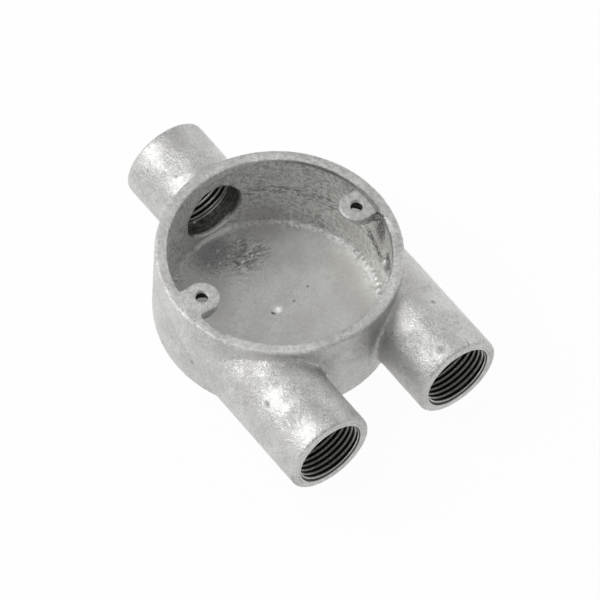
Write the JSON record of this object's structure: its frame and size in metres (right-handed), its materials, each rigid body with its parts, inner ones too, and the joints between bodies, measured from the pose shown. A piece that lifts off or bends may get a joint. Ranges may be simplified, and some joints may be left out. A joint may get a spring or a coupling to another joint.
{
  "type": "conduit branch box",
  "caption": "Round cast iron conduit box, galvanised, with one threaded spout at the back, parallel threaded spouts at the front and lugs for a screwed lid.",
  "frame": {"origin": "centre of the flat back face, under the chamber's axis", "axes": "+Z out of the open mouth, +Y along the single spout at the back, so the two parallel spouts point along -Y"},
  "size_m": [0.0666, 0.1024, 0.0292],
  "materials": {
    "galvanised_iron": "hot-dip galvanised, rough as cast"
  },
  "bodies": {
    "root": {"branch_box_casting": "galvanised_iron"}
  },
  "joints": []
}
